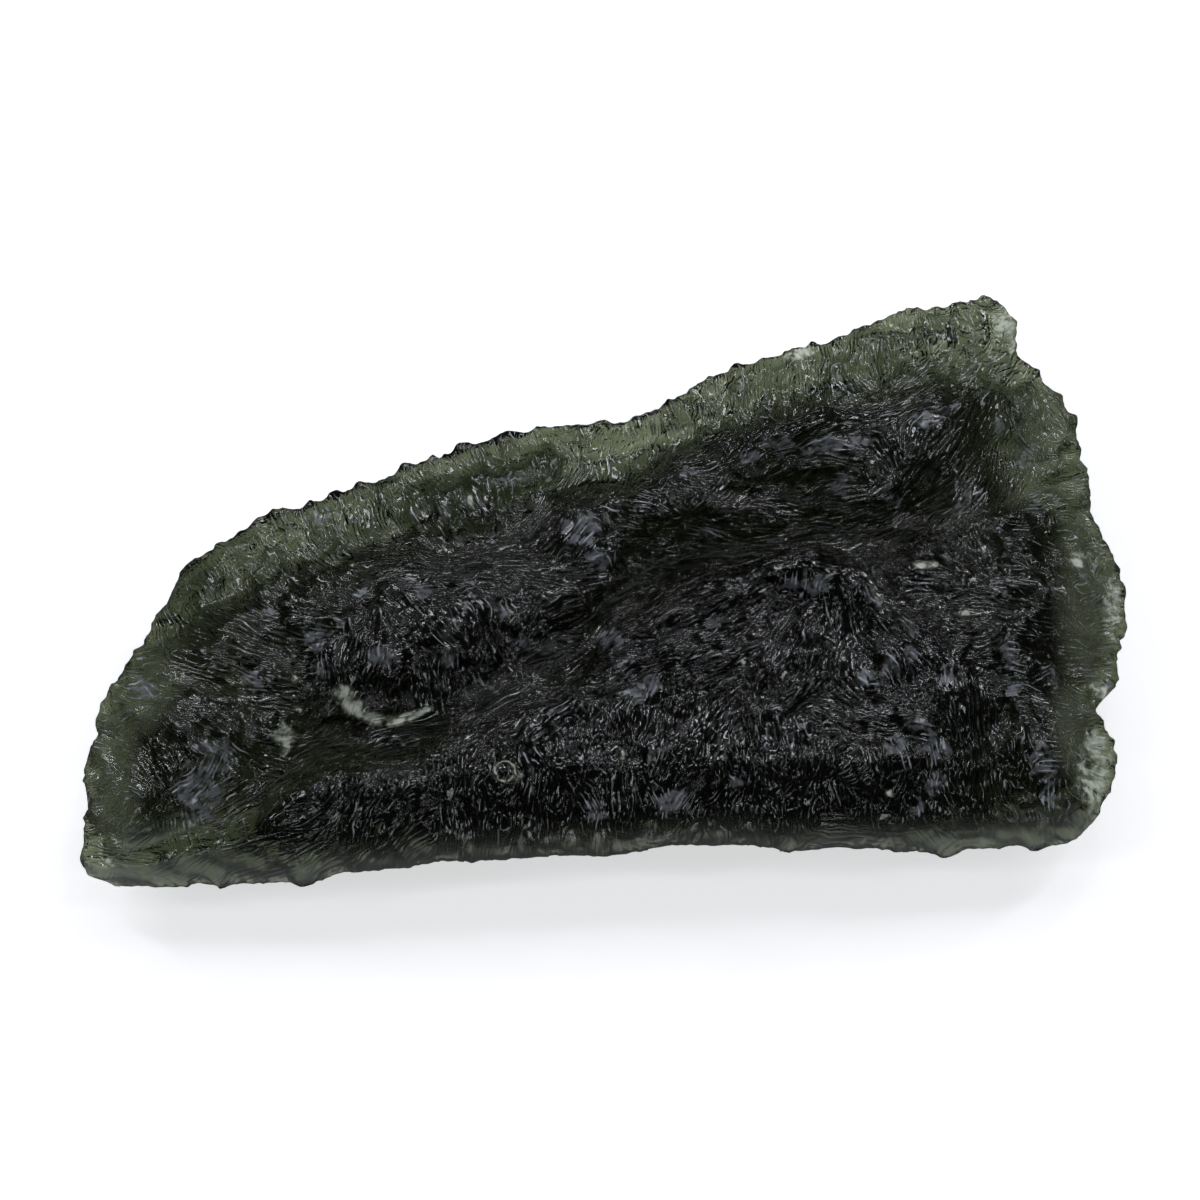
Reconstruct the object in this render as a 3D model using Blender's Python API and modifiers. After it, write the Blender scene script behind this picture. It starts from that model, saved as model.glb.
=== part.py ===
"""A moldavite: a lying piece of bottle-green natural glass, etched all over.

It is one solid. The broad face is up and the belly is down, with a small worn flat
to rest on. The origin is on the surface below the middle of the stone, +X runs
along its length, +Y from its near edge to its thin far edge, and +Z is up.

The outline and the large forms are placed by points read by eye from a picture of
the face. Such a point is (across, down) in picture pixels, and from_picture() turns
it into metres. Every size that drives the shape is a real one.
"""

import math

import bmesh
import bpy
import numpy as np

MM = 0.001

# Driving dimensions
LENGTH = 46.0 * MM
RIM_LEVEL_NEAR = 4.4 * MM
RIM_LEVEL_FAR = 4.5 * MM
RIM_HALF_NEAR = 0.7 * MM
RIM_HALF_FAR = 0.55 * MM
RIM_SAG = 1.3 * MM
FACE_LEVEL = 7.0 * MM
FACE_CROWN = 1.1 * MM
BELLY_LEVEL = -0.75 * MM
BLANK_HALF = 1.6 * MM
GRAIN = 0.67 * MM

# How the picture shows the stone: pixels, and the angle of sight above the horizontal
PICTURE_LEFT = 85
PICTURE_RIGHT = 1127
PICTURE_MIDDLE = (606, 590)
SIGHT = math.radians(65)
PIXEL = LENGTH / (PICTURE_RIGHT - PICTURE_LEFT)
FACE_SEEN_AT = 6.2 * MM

# The rim, clockwise from the left tip, in picture pixels
OUTLINE = [
    (86, 870), (88, 835), (92, 800), (87, 775), (93, 755), (103, 730), (101, 704),
    (122, 686), (133, 664), (148, 645), (163, 630), (170, 604), (177, 586),
    (188, 564), (212, 567), (224, 551), (246, 536), (282, 524), (303, 519),
    (336, 503), (352, 505), (364, 496), (378, 498), (386, 487), (402, 480),
    (426, 474), (448, 463), (478, 456), (522, 447), (546, 439), (560, 438),
    (570, 445), (581, 434), (605, 438), (626, 430), (653, 424), (674, 413),
    (691, 397), (711, 390), (742, 373), (767, 368), (780, 361), (798, 355),
    (822, 351), (839, 346), (857, 335), (882, 325), (915, 312), (945, 312),
    (969, 303), (988, 296), (1005, 300), (1022, 325), (1016, 345), (1020, 362),
    (1043, 370), (1048, 386), (1071, 407), (1078, 422), (1083, 442), (1079, 457),
    (1094, 484), (1087, 507), (1100, 527), (1103, 543), (1119, 565), (1125, 600),
    (1125, 633), (1114, 662), (1119, 685), (1100, 697), (1085, 706), (1092, 719),
    (1111, 738), (1114, 771), (1106, 793), (1095, 812), (1082, 832), (1055, 845),
    (1011, 847), (960, 852), (900, 852), (840, 849), (785, 852), (750, 846),
    (705, 846), (662, 849), (620, 855), (573, 854), (525, 860), (470, 863),
    (422, 866), (384, 873), (350, 877), (318, 882), (263, 885), (215, 882),
    (153, 884), (119, 881),
]

# Valleys of the face: their middle line, half width and depth
VALLEYS = [
    (
        [(170, 862), (215, 825), (270, 780), (340, 745), (430, 728), (500, 702),
         (560, 668), (620, 606), (690, 565), (770, 552), (860, 549), (950, 524),
         (1010, 470)],
        1.55 * MM,
        1.75 * MM,
    ),
    (
        [(235, 600), (300, 566), (370, 549), (450, 551), (520, 541), (560, 508),
         (610, 470), (660, 440)],
        1.25 * MM,
        1.1 * MM,
    ),
    ([(470, 556), (530, 590), (600, 592), (665, 572)], 0.9 * MM, 0.55 * MM),
    ([(690, 440), (760, 410), (850, 405), (930, 375), (985, 345)], 1.3 * MM, 0.35 * MM),
    ([(980, 575), (992, 640), (980, 710), (985, 775), (1000, 825)], 1.0 * MM, 0.75 * MM),
    ([(862, 578), (900, 612), (975, 622)], 0.8 * MM, 0.55 * MM),
    ([(300, 690), (330, 640), (400, 585)], 0.7 * MM, 0.35 * MM),
    ([(140, 690), (200, 700), (262, 712), (290, 735)], 0.8 * MM, 0.4 * MM),
    ([(480, 600), (500, 650), (512, 690)], 0.75 * MM, 0.5 * MM),
    ([(860, 660), (850, 730), (855, 800)], 0.7 * MM, 0.4 * MM),
    ([(700, 690), (735, 740), (745, 815)], 0.7 * MM, 0.35 * MM),
]

# Bowls (below zero) and knobs (above zero) of the face: middle, half sizes, turn, height
FORMS = [
    ((785, 500), (3.4 * MM, 1.15 * MM), -6, -1.05 * MM),
    ((735, 494), (1.2 * MM, 1.1 * MM), 0, -0.45 * MM),
    ((628, 489), (1.5 * MM, 0.95 * MM), -8, -0.7 * MM),
    ((222, 603), (1.9 * MM, 1.3 * MM), 40, -0.35 * MM),
    ((600, 720), (1.2 * MM, 0.9 * MM), 20, -0.35 * MM),
    ((900, 600), (1.1 * MM, 0.7 * MM), -30, -0.5 * MM),
    ((505, 771), (0.55 * MM, 0.55 * MM), 0, -0.5 * MM),
    ((158, 832), (1.2 * MM, 1.5 * MM), 20, -0.5 * MM),
    ((1040, 600), (1.3 * MM, 2.2 * MM), 10, -0.4 * MM),
    ((212, 775), (2.3 * MM, 2.5 * MM), 30, 0.85 * MM),
    ((378, 668), (2.3 * MM, 2.1 * MM), 0, 1.15 * MM),
    ((318, 632), (1.4 * MM, 1.2 * MM), 0, 0.6 * MM),
    ((452, 640), (1.8 * MM, 2.0 * MM), 30, 0.85 * MM),
    ((478, 690), (1.2 * MM, 0.8 * MM), -25, 0.5 * MM),
    ((503, 610), (0.9 * MM, 0.65 * MM), -20, 0.55 * MM),
    ((528, 640), (0.8 * MM, 0.7 * MM), 0, 0.4 * MM),
    ((612, 634), (1.0 * MM, 0.7 * MM), 0, 0.6 * MM),
    ((520, 480), (3.4 * MM, 1.1 * MM), 10, 0.55 * MM),
    ((590, 540), (1.3 * MM, 1.1 * MM), 0, 0.5 * MM),
    ((790, 452), (3.9 * MM, 0.8 * MM), 8, 0.75 * MM),
    ((840, 480), (0.8 * MM, 0.9 * MM), 0, 0.55 * MM),
    ((760, 505), (0.6 * MM, 0.5 * MM), 0, 0.25 * MM),
    ((930, 440), (2.4 * MM, 1.5 * MM), 20, 0.6 * MM),
    ((960, 498), (1.2 * MM, 1.3 * MM), -30, 0.6 * MM),
    ((810, 592), (2.1 * MM, 1.2 * MM), -10, 0.8 * MM),
    ((872, 602), (1.0 * MM, 0.8 * MM), -30, 0.5 * MM),
    ((700, 612), (2.2 * MM, 0.9 * MM), 8, 0.55 * MM),
    ((690, 680), (2.2 * MM, 1.7 * MM), 0, 0.8 * MM),
    ((790, 690), (2.2 * MM, 1.9 * MM), 10, 0.7 * MM),
    ((880, 680), (1.5 * MM, 2.0 * MM), -20, 0.75 * MM),
    ((922, 745), (1.0 * MM, 2.1 * MM), -10, 0.95 * MM),
    ((880, 790), (1.3 * MM, 1.2 * MM), 0, 0.5 * MM),
    ((1008, 660), (0.7 * MM, 1.3 * MM), -15, 0.7 * MM),
    ((1046, 770), (0.7 * MM, 1.8 * MM), -12, 0.8 * MM),
    ((678, 803), (1.0 * MM, 0.9 * MM), 0, 0.5 * MM),
    ((780, 790), (1.6 * MM, 1.0 * MM), 0, 0.4 * MM),
    ((450, 800), (3.6 * MM, 1.6 * MM), 5, 0.55 * MM),
    ((590, 800), (2.0 * MM, 1.4 * MM), 0, 0.4 * MM),
    ((300, 820), (2.2 * MM, 1.2 * MM), 15, 0.35 * MM),
    ((650, 520), (1.6 * MM, 0.8 * MM), 15, 0.4 * MM),
]

# Ledges of the face: a line whose left side, going along it, stands higher, with the
# height of the step and how far from the line it reaches
LEDGES = [
    ([(1003, 392), (960, 408), (870, 441), (800, 437), (716, 462)], 0.75 * MM, 2.6 * MM),
    ([(345, 690), (385, 722), (430, 708), (506, 696)][::-1], 0.6 * MM, 1.8 * MM),
    ([(960, 690), (925, 640), (862, 578), (780, 577), (700, 605), (640, 655), (590, 700)],
     0.6 * MM, 2.4 * MM),
    ([(262, 760), (250, 725), (205, 712), (165, 735)], 0.5 * MM, 1.8 * MM),
]

# How wide the sloping side of a ledge is
LEDGE_SLOPE = 1.2 * MM

# Flakes of the rim that are thin enough to see through: middle and half sizes
FLAKES = [
    ((1094, 768), (1.4 * MM, 2.9 * MM)),
    ((1112, 625), (0.9 * MM, 2.6 * MM)),
    ((1003, 318), (1.2 * MM, 1.2 * MM)),
    ((108, 850), (1.2 * MM, 1.5 * MM)),
]
FLAKE_HALF = 0.38 * MM

# A valley this deep has a smooth floor
VALLEY_SMOOTH_AT = 0.8 * MM

# The belly's own bowls and ribs, in millimetres from the origin. No picture shows them.
BELLY_FORMS = [
    ((-15.5, -4.5), (4.2, 2.2), 25, -0.9),
    ((-10.5, 1.5), (3.0, 1.6), -30, -0.6),
    ((12.5, -6.5), (4.4, 1.8), -10, -0.9),
    ((16.5, 1.0), (2.2, 3.8), 12, -0.8),
    ((9.0, 5.5), (3.6, 1.8), 28, -0.7),
    ((-3.0, 5.0), (3.2, 1.5), 10, -0.6),
    ((3.0, -9.0), (3.8, 1.4), 4, -0.5),
    ((-19.0, -8.0), (1.6, 1.6), 0, 0.5),
    ((19.0, -7.0), (1.7, 2.0), 0, 0.5),
    ((14.0, 9.0), (2.2, 1.2), 35, 0.4),
]

# Scallops: shallow round hollows that meet in low crests, all over the stone
SCALLOP_PITCH = 2.2 * MM
SCALLOP_DEPTH = 0.6 * MM
SCALLOP_SEED = 11

# How far in from the rim the face has risen to its full height, and the belly has sunk
RISE_NEAR = 2.3 * MM
RISE_FAR = 6.5 * MM
SINK = 6.5 * MM

# The near wall leans back: how far its top edge is behind its foot, and how far in from
# the rim the face is carried back with it
LEAN = 0.9 * MM
LEAN_FADES = 4.0 * MM

# The belly is a dome: its lowest point, and its half sizes
BELLY_MIDDLE = (2.5 * MM, -2.2 * MM)
BELLY_HALVES = (24.0 * MM, 15.5 * MM)

# The face is crowned round this point, and the near edge thins towards both tips
CROWN_MIDDLE = (8.0 * MM, -4.5 * MM)
CROWN_HALVES = (20.0 * MM, 12.0 * MM)
TIP_STARTS = 17.5 * MM

GLASS_GREEN = (0.055, 0.085, 0.035, 1.0)


def from_picture(pixel, height):
    """Where a point of the picture lies on the stone, if it is that high above the surface."""
    across = (pixel[0] - PICTURE_MIDDLE[0]) * PIXEL
    up = (PICTURE_MIDDLE[1] - pixel[1]) * PIXEL
    return across, (up - height * math.cos(SIGHT)) / math.sin(SIGHT)


def eased(share):
    """0 to 1 with a soft start and a soft end."""
    share = np.clip(share, 0.0, 1.0)
    return share * share * (3.0 - 2.0 * share)


def rim_nearness(points):
    """1 along the thick near edge, 0 along the thin far edge, between them at the tips."""
    near = 1.0 - eased((points[:, 1] - NEAR_Y) / (FAR_Y - NEAR_Y))
    tip = eased((np.abs(points[:, 0]) - TIP_STARTS) / (LENGTH / 2 - TIP_STARTS))
    return near * (1.0 - 0.62 * tip)


def outline_points():
    """The rim in metres, centred on the origin."""
    points = np.array([from_picture(p, RIM_SEEN_AT) for p in OUTLINE])
    return points - OUTLINE_CENTRE


def outline_centre():
    points = np.array([from_picture(p, RIM_SEEN_AT) for p in OUTLINE])
    return (points.max(axis=0) + points.min(axis=0)) / 2


RIM_SEEN_AT = (RIM_LEVEL_NEAR + RIM_LEVEL_FAR) / 2
OUTLINE_CENTRE = outline_centre()
RIM = outline_points()
NEAR_Y, FAR_Y = RIM[:, 1].min(), RIM[:, 1].max()


def on_face(pixel):
    """A point of the face, in metres from the origin."""
    return np.array(from_picture(pixel, FACE_SEEN_AT)) - OUTLINE_CENTRE


def path_distance(points, path, closed=False):
    """Each point's distance to a path of straight pieces."""
    ends = np.roll(path, -1, axis=0) if closed else path[1:]
    starts = path if closed else path[:-1]
    nearest = np.full(len(points), np.inf)
    for start, end in zip(starts, ends):
        along = end - start
        share = np.clip((points - start) @ along / (along @ along), 0.0, 1.0)
        gap = points - (start + share[:, None] * along)
        nearest = np.minimum(nearest, np.hypot(gap[:, 0], gap[:, 1]))
    return nearest


def bump(ratio):
    """A smooth hill: 1 at the middle and 0 where ratio reaches 1."""
    return np.maximum(0.0, 1.0 - ratio * ratio) ** 2


def trough(ratio):
    """Like bump, with a flatter floor and steeper walls."""
    return np.maximum(0.0, 1.0 - ratio**3) ** 2


def warped(points):
    """Points pushed about a little, so that no line drawn with them stays straight."""
    x, y = points[:, 0] / MM, points[:, 1] / MM
    push_x = 0.30 * np.sin(1.15 * y + 0.4 * x) + 0.16 * np.sin(2.7 * y - 1.1 * x + 1.0)
    push_y = 0.30 * np.sin(1.05 * x - 0.3 * y + 2.0) + 0.16 * np.sin(2.5 * x + 0.9 * y)
    return points + np.column_stack([push_x, push_y]) * MM


def form_height(points, middle, halves, turn, height):
    """One bowl or knob."""
    angle = math.radians(turn)
    offset = points - middle
    across = offset[:, 0] * math.cos(angle) + offset[:, 1] * math.sin(angle)
    up = offset[:, 1] * math.cos(angle) - offset[:, 0] * math.sin(angle)
    return height * bump(np.hypot(across / halves[0], up / halves[1]) / 1.25)


def scallops(points, seed):
    """Hollows round scattered middles, deepest in the middle, with crests between them."""
    chance = np.random.default_rng(seed)
    across = np.arange(-LENGTH / 2, LENGTH / 2, SCALLOP_PITCH)
    up = np.arange(NEAR_Y, FAR_Y, SCALLOP_PITCH)
    middles = np.stack(np.meshgrid(across, up), axis=-1).reshape(-1, 2)
    middles = middles + chance.uniform(0.0, SCALLOP_PITCH, middles.shape)
    gap = points[:, None, :] - middles[None, :, :]
    nearest = np.sqrt((gap**2).sum(axis=2).min(axis=1)) / SCALLOP_PITCH
    return SCALLOP_DEPTH * (np.minimum(nearest, 0.9) ** 2 - 0.3)


def ledge_height(points, line, height, width):
    """A step: up by height on the left of the line, fading out away from it."""
    best = np.full(len(points), np.inf)
    side = np.zeros(len(points))
    for start, end in zip(line[:-1], line[1:]):
        along = end - start
        share = np.clip((points - start) @ along / (along @ along), 0.0, 1.0)
        gap = points - (start + share[:, None] * along)
        far = np.hypot(gap[:, 0], gap[:, 1])
        turn = along[0] * gap[:, 1] - along[1] * gap[:, 0]
        closer = far < best
        best = np.where(closer, far, best)
        side = np.where(closer, np.sign(turn) * far, side)
    step = eased(side / LEDGE_SLOPE + 0.5)
    return height * step * bump(best / width)


def face_relief(points):
    """The height of valleys, bowls, knobs, ledges and scallops of the face."""
    points = warped(points)
    valleys = np.zeros(len(points))
    for path, half_width, depth in VALLEYS:
        line = np.array([on_face(p) for p in path])
        cut = depth * trough(path_distance(points, line) / (1.35 * half_width))
        valleys = np.maximum(valleys, cut)
    relief = -valleys
    for pixel, halves, turn, height in FORMS:
        relief += form_height(points, on_face(pixel), halves, turn, height)
    for path, height, width in LEDGES:
        relief += ledge_height(points, np.array([on_face(p) for p in path]), height, width)
    rough = 1.0 - 0.7 * np.clip(valleys / VALLEY_SMOOTH_AT, 0.0, 1.0)
    return relief + rough * scallops(points, SCALLOP_SEED)


def belly_relief(points):
    """The belly's relief, which is above zero where the belly hangs lower."""
    points = warped(points)
    relief = scallops(points, SCALLOP_SEED + 1)
    for middle, halves, turn, height in BELLY_FORMS:
        centre = np.array(middle) * MM
        relief += form_height(points, centre, np.array(halves) * MM, turn, height * MM)
    return relief


def flake_share(points):
    """1 in the middle of a thin flake of the rim, 0 outside of them all."""
    share = np.zeros(len(points))
    for pixel, halves in FLAKES:
        middle = np.array(from_picture(pixel, RIM_SEEN_AT)) - OUTLINE_CENTRE
        offset = (points - middle) / np.array(halves)
        share = np.maximum(share, eased(1.6 - 1.6 * np.hypot(offset[:, 0], offset[:, 1])))
    return share


def dome(points, middle, halves):
    """1 at the middle, falling like a dish to 0 at the half sizes and below zero past them."""
    offset = (points - np.array(middle)) / np.array(halves)
    return 1.0 - (offset**2).sum(axis=1)


def shaped(blank):
    """Moves the points of the flat blank to the stone's own surface."""
    points = blank[:, :2]
    level = np.clip(blank[:, 2] / BLANK_HALF, -1.0, 1.0)
    inside = path_distance(points, RIM, closed=True)
    near = rim_nearness(points)

    rim_level = RIM_LEVEL_FAR + (RIM_LEVEL_NEAR - RIM_LEVEL_FAR) * near
    rim_level -= RIM_SAG * (points[:, 0] / (LENGTH / 2)) ** 2
    rim_half = RIM_HALF_FAR + (RIM_HALF_NEAR - RIM_HALF_FAR) * near

    reach = RISE_FAR + (RISE_NEAR - RISE_FAR) * near**0.5
    rise = np.clip(inside / reach, 0.0, 1.0) ** (1.5 - near)
    crown = FACE_LEVEL + FACE_CROWN * np.maximum(dome(points, CROWN_MIDDLE, CROWN_HALVES), 0)
    face = rim_level + rim_half + rise * (crown - rim_level - rim_half)

    bowl = np.maximum(dome(points, BELLY_MIDDLE, BELLY_HALVES), 0.0)
    sink = bowl * eased(inside / SINK)
    belly = rim_level - rim_half + sink * (BELLY_LEVEL - rim_level + rim_half)

    fade = np.clip(inside / (1.2 * MM), 0.0, 1.0)
    face += fade * face_relief(points)
    belly -= fade * belly_relief(points)
    flake = flake_share(points)
    face += flake * (rim_level + FLAKE_HALF - face)
    belly += flake * (rim_level - FLAKE_HALF - belly)
    height = belly + (face - belly) * (level + 1.0) / 2.0
    lean = LEAN * near * (level + 1.0) / 2.0 * (1.0 - eased(inside / LEAN_FADES))
    return np.column_stack([points[:, 0], points[:, 1] + lean, np.maximum(height, 0.0)])


def centred(points):
    """The same points with the box's middle over the origin and its length true."""
    low, high = points.min(axis=0), points.max(axis=0)
    middle = (low + high) / 2
    scale = LENGTH / (high[0] - low[0])
    points[:, :2] = (points[:, :2] - middle[:2]) * scale
    return points


def rim_curve(collection):
    """The outline as a filled flat curve, as thick as the blank."""
    curve = bpy.data.curves.new("rim_outline", "CURVE")
    curve.dimensions = "2D"
    curve.fill_mode = "BOTH"
    curve.extrude = BLANK_HALF
    spline = curve.splines.new("POLY")
    spline.points.add(len(RIM) - 1)
    for point, (x, y) in zip(spline.points, RIM):
        point.co = (x, y, 0.0, 1.0)
    spline.use_cyclic_u = True
    outline = bpy.data.objects.new("rim_outline", curve)
    collection.objects.link(outline)
    return outline


def evaluated_mesh(thing):
    """The object's mesh with its modifiers applied."""
    graph = bpy.context.evaluated_depsgraph_get()
    return bpy.data.meshes.new_from_object(thing.evaluated_get(graph))


def even_blank(collection):
    """The blank as one closed mesh of even squares, ready to be shaped."""
    outline = rim_curve(collection)
    slab = bpy.data.objects.new("moldavite", evaluated_mesh(outline))
    bpy.data.objects.remove(outline)
    collection.objects.link(slab)

    welded = bmesh.new()
    welded.from_mesh(slab.data)
    bmesh.ops.remove_doubles(welded, verts=welded.verts, dist=0.01 * MM)
    bmesh.ops.recalc_face_normals(welded, faces=welded.faces)
    welded.to_mesh(slab.data)
    welded.free()

    squares = slab.modifiers.new("even squares", "REMESH")
    squares.mode = "VOXEL"
    squares.voxel_size = GRAIN
    mesh = evaluated_mesh(slab)
    slab.modifiers.remove(squares)
    slab.data = mesh
    return slab


def glass():
    """Bottle-green natural glass."""
    material = bpy.data.materials.new("moldavite_glass")
    material.use_nodes = True
    shader = material.node_tree.nodes["Principled BSDF"]
    shader.inputs["Base Color"].default_value = GLASS_GREEN
    shader.inputs["Roughness"].default_value = 0.2
    shader.inputs["Metallic"].default_value = 0.0
    shader.inputs["IOR"].default_value = 1.49
    return material


def build():
    for old in list(bpy.data.objects):
        bpy.data.objects.remove(old)
    collection = bpy.data.collections.new("moldavite")
    bpy.context.scene.collection.children.link(collection)

    stone = even_blank(collection)
    blank = np.empty(len(stone.data.vertices) * 3)
    stone.data.vertices.foreach_get("co", blank)
    surface = centred(shaped(blank.reshape(-1, 3)))
    stone.data.vertices.foreach_set("co", surface.ravel())
    stone.data.materials.clear()
    stone.data.materials.append(glass())
    stone.data.shade_smooth()
    stone.data.update()


build()
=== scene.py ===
# %% [markdown]
# # A moldavite on a white table
# Moldavite is natural glass. A meteorite melted the ground, the melt flew off and froze in
# the air, and millions of years in wet soil then etched its skin into grooves and cups.
# The CAD stone already has the true size, outline, valleys and lumps. This script grows the
# etched skin on a copy of it, gives it real see-through glass, and lights it.

# %% load the frame
import math

import bpy
import numpy as np
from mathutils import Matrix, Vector
from mathutils.bvhtree import BVHTree


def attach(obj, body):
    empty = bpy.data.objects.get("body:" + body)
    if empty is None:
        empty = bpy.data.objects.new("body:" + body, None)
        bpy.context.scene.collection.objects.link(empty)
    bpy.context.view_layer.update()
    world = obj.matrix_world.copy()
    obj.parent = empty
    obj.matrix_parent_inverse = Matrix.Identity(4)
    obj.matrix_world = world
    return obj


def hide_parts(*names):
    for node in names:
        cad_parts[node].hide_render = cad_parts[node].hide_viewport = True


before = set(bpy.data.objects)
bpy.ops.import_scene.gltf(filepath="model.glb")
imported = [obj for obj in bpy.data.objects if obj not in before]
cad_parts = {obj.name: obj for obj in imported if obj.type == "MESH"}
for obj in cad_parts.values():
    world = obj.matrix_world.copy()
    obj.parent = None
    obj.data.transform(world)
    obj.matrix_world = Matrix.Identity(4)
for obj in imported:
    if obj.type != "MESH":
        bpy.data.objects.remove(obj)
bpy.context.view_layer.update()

MM = 0.001

# %% [markdown]
# ## The camera
# The picture looks down on the lying stone from its near side. A long lens far away keeps
# its two ends the same size, as in the picture. The camera comes first, because marks on
# the stone are placed by looking through it.

# %% the camera
PHOTO_SIZE = 1200
SIGHT = math.radians(65)
# the lens and the sensor in millimetres
LENS = 400
SENSOR = 36
STONE_LENGTH = 46 * MM
STONE_PIXELS = 1042
PIXEL = STONE_LENGTH / STONE_PIXELS
AIM = Vector((-0.25 * MM, -1.12 * MM, 4.75 * MM))

camera_away = PHOTO_SIZE * PIXEL * LENS / SENSOR
toward_camera = Vector((0, -math.cos(SIGHT), math.sin(SIGHT)))
bpy.ops.object.select_all(action="DESELECT")
bpy.ops.object.camera_add(
    location=AIM + toward_camera * camera_away,
    rotation=(math.pi / 2 - SIGHT, 0, 0),
)
camera = bpy.context.object
camera.name = "camera"
camera.data.lens = LENS
camera.data.sensor_width = SENSOR
camera.data.clip_start = 0.01
camera.data.clip_end = 20
bpy.context.scene.camera = camera
bpy.context.scene.view_settings.view_transform = "Standard"
print("the camera is", round(camera_away, 3), "m away")

# %% [markdown]
# ## The table and the lamps
# The table is a lit white board, so it burns out to white, lights the thin glass from below, and
# leaves only a soft pale shadow. The stone looks black because the room is dark. Each groove
# draws a thin bright line because strip lamps stand all round it, so some side of each groove
# faces one of them, and pale painted glint lines on the crests add to them. Most of the light
# comes from behind.
# The picture's table was whitened after it was taken, so its stone doesn't mirror a white
# table. Here the table is kept out of the stone's reflections for the same reason.

# %% colours


def linear(hex_colour):
    """An sRGB hex colour as linear RGBA."""
    values = [int(hex_colour[i : i + 2], 16) / 255 for i in (0, 2, 4)]
    return [v / 12.92 if v <= 0.04045 else ((v + 0.055) / 1.055) ** 2.4 for v in values] + [1.0]


# %% the table
TABLE_WIDTH = 3.0
TABLE_GLOW = 0.56

bpy.ops.mesh.primitive_grid_add(x_subdivisions=2, y_subdivisions=2, size=TABLE_WIDTH)
floor = bpy.context.object
floor.name = "table_top"
white_lacquer = bpy.data.materials.new("white_lacquered_board")
white_lacquer.use_nodes = True
white_shader = white_lacquer.node_tree.nodes["Principled BSDF"]
white_shader.inputs["Base Color"].default_value = linear("f2f2f2")
white_shader.inputs["Roughness"].default_value = 0.6
white_shader.inputs["Emission Color"].default_value = linear("ffffff")
white_shader.inputs["Emission Strength"].default_value = TABLE_GLOW
floor.data.materials.append(white_lacquer)
floor.visible_glossy = False

# %% the lamps


def add_lamp(name, place, size, radiance, colour):
    """A strip lamp at a place in metres that faces the stone, as bright as its radiance."""
    lamp = bpy.data.lights.new(name, "AREA")
    lamp.shape = "RECTANGLE"
    lamp.size, lamp.size_y = size
    lamp.energy = radiance * math.pi * size[0] * size[1]
    lamp.color = linear(colour)[:3]
    holder = bpy.data.objects.new(name, lamp)
    holder.location = place
    holder.rotation_euler = (AIM - Vector(place)).to_track_quat("-Z", "Y").to_euler()
    holder.visible_camera = False
    bpy.context.scene.collection.objects.link(holder)


LAMP_DISTANCE = 0.8
ROOM_GLOW = 0.05
# each lamp's turn to the right from straight behind the stone and its height, both in
# degrees, then its size in metres and its radiance
LAMPS = [
    # a soft one overhead
    (0, 66, (0.50, 0.30), 0.6),
    # strips behind, at the sides and in front
    (-4, 29, (0.90, 0.07), 11.0),
    (52, 42, (0.07, 0.45), 13.0),
    (-56, 44, (0.07, 0.45), 13.0),
    (98, 40, (0.07, 0.45), 8.0),
    (-104, 40, (0.07, 0.45), 8.0),
    (165, 56, (0.35, 0.07), 6.0),
    # a small bright one for the glints
    (18, 50, (0.03, 0.03), 90.0),
    # a low wide one in front, for the near edge
    (176, 15, (0.80, 0.10), 4.0),
]

for number, (turn, height, size, radiance) in enumerate(LAMPS):
    turn, height = math.radians(turn), math.radians(height)
    level = LAMP_DISTANCE * math.cos(height)
    place = (level * math.sin(turn), level * math.cos(turn), LAMP_DISTANCE * math.sin(height))
    add_lamp(f"lamp_{number}", place, size, radiance, "f4f7ff")

world = bpy.data.worlds.new("room")
bpy.context.scene.world = world
world.use_nodes = True
room = world.node_tree.nodes["Background"]
room.inputs["Color"].default_value = linear("c9ccd2")
room.inputs["Strength"].default_value = ROOM_GLOW
print(len(LAMPS), "lamps stand round the stone")

# %% [markdown]
# ## The blank
# The CAD stone is a mesh of flat triangles. A copy of it is joined up, rounded by a
# subdivision, and remeshed into even small squares. Remeshing was chosen over more
# subdivision because the squares come out the same size everywhere, so the etching
# is as fine on a steep wall as on the face. The remesher can't go below 0.1 mm, so
# the copy is enlarged for it and shrunk back.

# %% the blank
SQUARE = 0.08 * MM
ENLARGED = 10

cad_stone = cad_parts["moldavite"]
bpy.ops.object.select_all(action="DESELECT")
stone = cad_stone.copy()
stone.data = cad_stone.data.copy()
stone.name = "etched_stone"
stone.parent = None
bpy.context.scene.collection.objects.link(stone)
stone.select_set(True)
bpy.context.view_layer.objects.active = stone

bpy.ops.object.mode_set(mode="EDIT")
bpy.ops.mesh.select_all(action="SELECT")
bpy.ops.mesh.remove_doubles(threshold=0.001 * MM)
bpy.ops.mesh.tris_convert_to_quads()
bpy.ops.transform.resize(value=(ENLARGED, ENLARGED, ENLARGED), center_override=(0, 0, 0))
bpy.ops.object.mode_set(mode="OBJECT")
rounded = stone.modifiers.new("rounded", "SUBSURF")
rounded.levels = rounded.render_levels = 2
bpy.ops.object.modifier_apply(modifier="rounded")
squares = stone.modifiers.new("small squares", "REMESH")
squares.mode = "VOXEL"
squares.voxel_size = SQUARE * ENLARGED
bpy.ops.object.modifier_apply(modifier="small squares")
bpy.ops.object.mode_set(mode="EDIT")
bpy.ops.mesh.select_all(action="SELECT")
bpy.ops.transform.resize(value=(1 / ENLARGED,) * 3, center_override=(0, 0, 0))
bpy.ops.object.mode_set(mode="OBJECT")
print("the blank has", len(stone.data.vertices), "points")

# %% [markdown]
# ## Placing marks through the camera
# A mark seen at a pixel of the picture lies where the line of sight through that pixel
# meets the stone. So its place holds from every side.

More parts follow.
